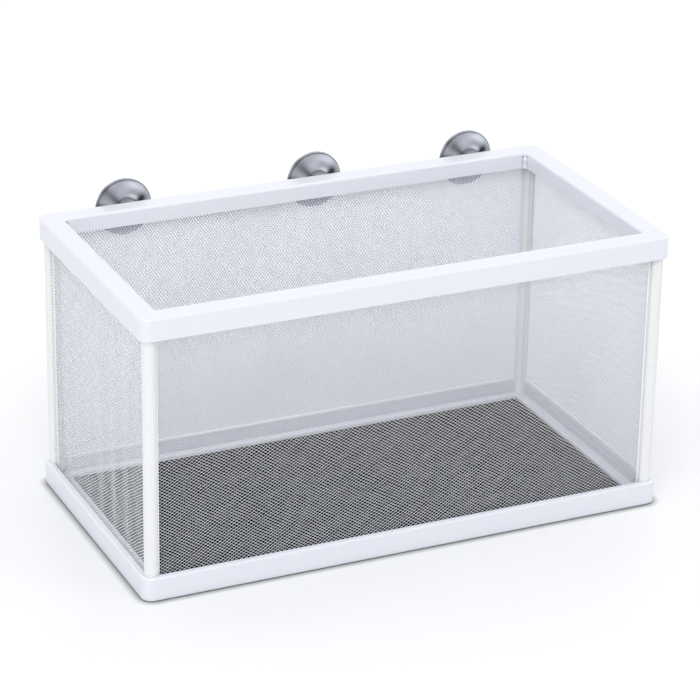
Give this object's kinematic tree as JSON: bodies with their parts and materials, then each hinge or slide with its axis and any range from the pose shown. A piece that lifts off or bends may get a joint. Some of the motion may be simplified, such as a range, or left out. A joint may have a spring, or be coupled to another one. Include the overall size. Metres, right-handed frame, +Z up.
{
  "type": "fish breeding box",
  "caption": "Open-topped net breeding box for a fish tank: white frame on corner posts, fine net walls, dark net floor, suction cups on the back of the rim.",
  "frame": {"origin": "on the surface that the box stands on, under the middle of its whole outline, suction cups included", "axes": "+X along the box's long side to the right, +Y to the back, towards the glass that the cups hold, +Z up"},
  "size_m": [0.26, 0.1436, 0.1452],
  "materials": {
    "frame_plastic": "moulded, satin gloss, cool white",
    "sleeve_weave": "fine white herringbone weave",
    "net_white": "fine knitted white nylon net",
    "net_black": "dense black nylon net",
    "cup_vinyl": "smoke-grey soft vinyl, glossy"
  },
  "bodies": {
    "box": {"top_rim": "frame_plastic", "base_frame": "frame_plastic", "floor_clamp_ring": "frame_plastic", "post_front_left": "frame_plastic", "post_front_right": "frame_plastic", "post_back_left": "frame_plastic", "post_back_right": "frame_plastic", "sleeve_front_left": "sleeve_weave", "sleeve_front_right": "sleeve_weave", "sleeve_back_left": "sleeve_weave", "sleeve_back_right": "sleeve_weave", "rim_pin_front_left": "frame_plastic", "rim_pin_front_right": "frame_plastic", "rim_pin_back_left": "frame_plastic", "rim_pin_back_right": "frame_plastic", "net_front": "net_white", "net_back": "net_white", "net_left": "net_white", "net_right": "net_white", "floor_net": "net_black"},
    "cup_left": {"suction_cup_left": "cup_vinyl"},
    "cup_middle": {"suction_cup_middle": "cup_vinyl"},
    "cup_right": {"suction_cup_right": "cup_vinyl"}
  },
  "joints": [
    {"name": "cup_left_swivel", "type": "hinge", "parent": "box", "child": "cup_left", "pos_m": [-0.0845, 0.0635, 0.1312], "axis": [0, 1, 0], "continuous": true},
    {"name": "cup_middle_swivel", "type": "hinge", "parent": "box", "child": "cup_middle", "pos_m": [0.0135, 0.0635, 0.1312], "axis": [0, 1, 0], "continuous": true},
    {"name": "cup_right_swivel", "type": "hinge", "parent": "box", "child": "cup_right", "pos_m": [0.095, 0.0635, 0.1312], "axis": [0, 1, 0], "continuous": true}
  ]
}
